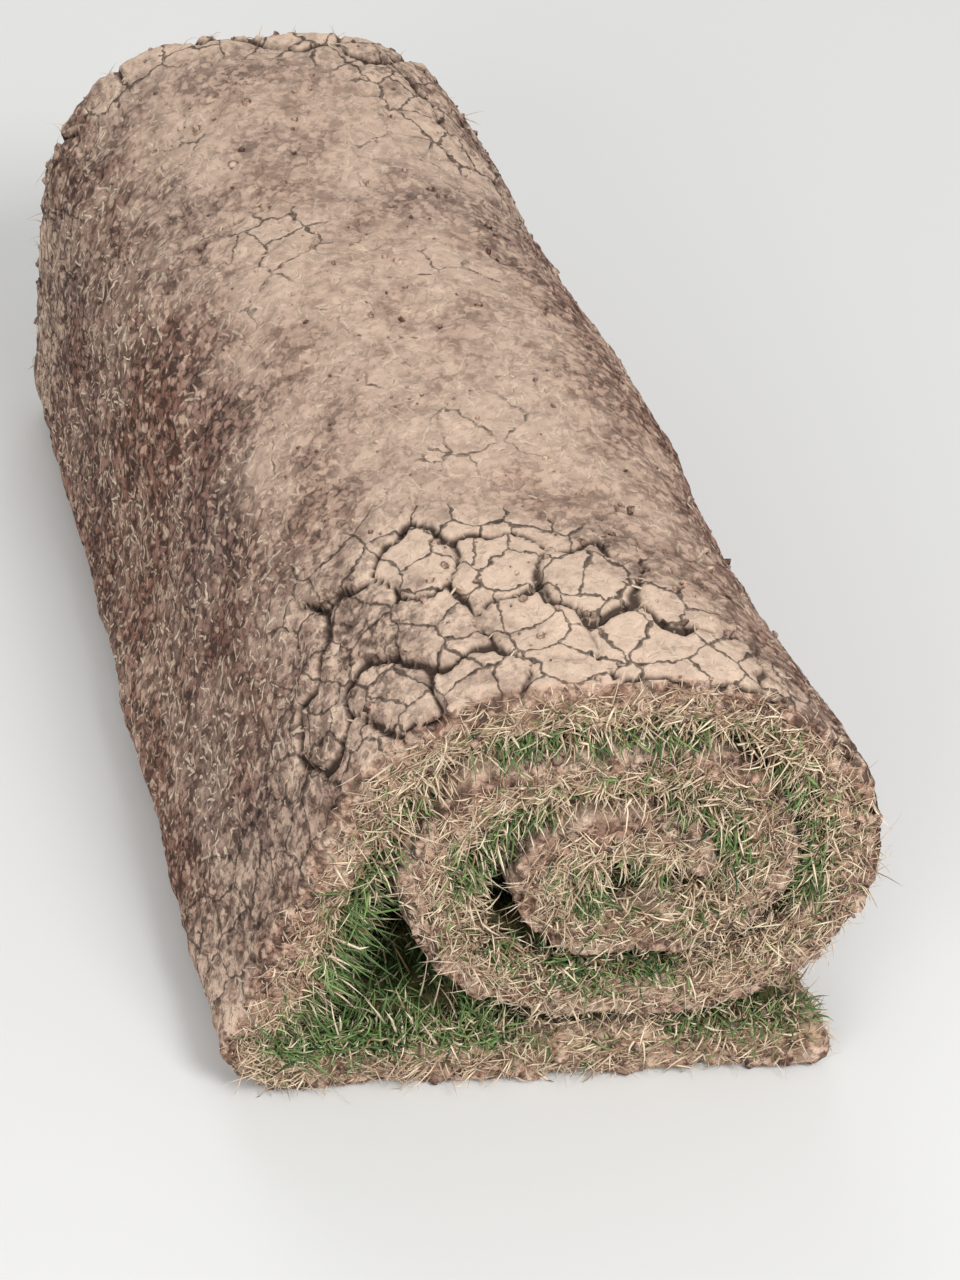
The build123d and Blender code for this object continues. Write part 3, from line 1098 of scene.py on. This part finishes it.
def build_fibres(roots, ground, tries):
    """Fine roots and stems that lie in patches on the soil of the outermost turn."""
    s = random.uniform(FOLD_START - 0.01, UNDER - 0.02, tries)
    on_flap = random.random(tries) < 0.3
    s = np.where(on_flap, random.uniform(FOLD_START, FLAP_TOP, tries), s)
    across = random.uniform(0.002, 0.998, tries)
    patch = np.sin(s / 0.019 + 3 * across) * np.sin(across * LENGTH / 0.023 + s / 0.05)
    chosen = patch + random.normal(0, 0.5, tries) > 0.35
    s, across = s[chosen], across[chosen]
    count = len(s)
    heading = random.uniform(0, 2 * pi, count)
    step = random.uniform(0.003, 0.009, count) / (KNOTS - 1)
    curl = random.normal(0, 0.45, count)
    width = random.uniform(0.0005, 0.0010, count)
    trail = []
    for knot in range(KNOTS):
        arch = 0.0012 * np.sin(pi * knot / (KNOTS - 1)) * random.uniform(0, 1, count) ** 2
        point, _, _ = place(s, across, 0.0, EDGE_INSET)
        trail.append(settled(point, ground, 0.3 * width + arch))
        heading = heading + curl / (KNOTS - 1) + random.normal(0, 0.15, count)
        s = s + step * np.cos(heading)
        across = np.clip(across + step * np.sin(heading) / LENGTH, 0, 1)
    paths = np.stack(trail, 1)
    piece = strands("surface_roots", paths, width, tints(count, 0.6), flatness=0.7)
    finish_with(piece, roots)


# Crumbs: their least size and how much larger they get, and how many lie at an end and on top
CRUMB_LEAST = 0.0009
CRUMB_GROWTH = 0.0026
CRUMBS_AT_END = 1100
CRUMBS_ON_TOP = 900
GOLDEN = (1 + sqrt(5)) / 2


def crumb_shape():
    """The corners of a twenty-sided crumb about 1 across, and its faces, turned outwards."""
    corner = [(0, a, b * GOLDEN) for a in (-1, 1) for b in (-1, 1)]
    corner = np.array([np.roll(c, turn) for turn in range(3) for c in corner])
    gaps = np.linalg.norm(corner[:, None] - corner[None], axis=-1)
    faces = []
    for face in combinations(range(len(corner)), 3):
        i, j, k = face
        if max(gaps[i, j], gaps[j, k], gaps[i, k]) < 2.1:
            faces.append(face if np.linalg.det(corner[list(face)]) > 0 else face[::-1])
    return corner / GOLDEN / 2, np.array(faces)


def crumb_places():
    """Where crumbs lie: on the cut edges of both ends, and on the outermost turn."""
    spots = []
    for side in (FRONT, BACK):
        depth = random.uniform(0, SOIL, CRUMBS_AT_END)
        inset = edge_inset(depth) + random.uniform(-0.0005, 0.0012, CRUMBS_AT_END)
        s = random.uniform(0, TOTAL, CRUMBS_AT_END)
        spots.append(place(s, from_end(inset, side), depth)[0])
    s = random.uniform(FLAP, UNDER - 0.03, CRUMBS_ON_TOP)
    across = random.uniform(0, 1, CRUMBS_ON_TOP)
    spots.append(place(s, across, 0.0, EDGE_INSET)[0])
    return np.concatenate(spots)


def build_crumbs(made, ground):
    """Crumbs of soil that cling to the ends and lie about the cracks."""
    corner, faces = crumb_shape()
    centres = settled(crumb_places(), ground)
    count, corners = len(centres), len(corner)
    size = CRUMB_LEAST + CRUMB_GROWTH * random.random(count) ** 3
    shape = corner[None] * size[:, None, None] * random.uniform(0.6, 1.25, (count, corners, 1))
    points = centres[:, None] + shape * random.uniform(0.7, 1.3, (count, 1, 3))
    points[..., 2] = np.maximum(points[..., 2], cad_low.z + 0.0002)
    triangles = (np.arange(count)[:, None, None] * corners + faces[None]).reshape(-1, 3)
    dry = np.repeat(random.random(count), corners)
    piece = make_mesh("crumbs", points.reshape(-1, 3), triangles, {"dry": dry})
    finish_with(piece, made)


# The stage

# The floor, the even light of the surroundings, and where the lamps and the camera look
FLOOR_SIZE = 8
FLOOR_GAP = 0.0003
FLOOR_COLOUR = (0.76, 0.76, 0.75, 1)
WORLD_LIGHT = 0.45
LIT_POINT = Vector((0, 0, 0.05))
CAMERA_PLACE = Vector((-0.278, -0.862, 0.841))
CAMERA_TARGET = Vector((0.029, -0.045, 0.055))
CAMERA_LENS = 89


def turn_to(thing, target):
    """Turns a lamp or the camera towards a point."""
    thing.rotation_euler = (target - thing.location).to_track_quat("-Z", "Y").to_euler()


def build_floor():
    """A pale floor just under the roll."""
    bpy.ops.mesh.primitive_plane_add(size=FLOOR_SIZE, location=(0, 0, cad_low.z - FLOOR_GAP))
    floor = bpy.context.object
    floor.name = "floor"
    made, _, shader = material("floor", 0.9)
    shader.inputs["Base Color"].default_value = FLOOR_COLOUR
    floor.data.materials.append(made)


def build_world():
    """Even white light from all round."""
    world = bpy.data.worlds.new("studio")
    bpy.context.scene.world = world
    world.use_nodes = True
    background = world.node_tree.nodes["Background"]
    background.inputs["Color"].default_value = (1.0, 1.0, 1.0, 1)
    background.inputs["Strength"].default_value = WORLD_LIGHT


def build_lamp(name, where, size, watts):
    """A square lamp that shines at the roll."""
    light = bpy.data.lights.new(name, "AREA")
    light.size = size
    light.energy = watts
    lamp = bpy.data.objects.new(name, light)
    lamp.location = where
    turn_to(lamp, LIT_POINT)
    bpy.context.scene.collection.objects.link(lamp)


def build_stage():
    """A pale floor and soft lights."""
    build_floor()
    bpy.context.scene.view_settings.view_transform = "Standard"
    build_world()
    build_lamp("key", where=(0.48, -1.12, 1.38), size=0.6, watts=18.0)
    build_lamp("fill", where=(-1.1, -1.1, 0.8), size=1.0, watts=10.0)
    build_lamp("rim", where=(0.2, 1.4, 1.1), size=1.0, watts=8.0)


def build_camera():
    """The photograph's viewing angle, aimed at the roll."""
    data = bpy.data.cameras.new("camera")
    camera = bpy.data.objects.new("camera", data)
    bpy.context.scene.collection.objects.link(camera)
    camera.location = CAMERA_PLACE + Vector(SHIFT)
    turn_to(camera, CAMERA_TARGET)
    data.lens = CAMERA_LENS
    data.clip_start = 0.01
    bpy.context.scene.camera = camera


def main():
    soil = soil_material()
    grass = grass_material()
    straw = straw_material()
    roots = root_material()
    build_camera()
    build_stage()
    ground = surface_of(build_soil(soil))
    build_mat(mat_material())
    build_ends(grass, straw, roots, ground)
    build_pocket("green_loose_turn", grass, count=4600, tint=0.65)
    build_pocket("straw_loose_turn", straw, count=1400, tint=0.7)
    build_free_end_grass("green_free_end", grass, count=1600)
    build_free_end_grass("straw_free_end", straw, count=1300)
    build_free_end_roots(roots, ground, count=1100)
    build_fibres(roots, ground, tries=6000)
    build_crumbs(soil, ground)


main()
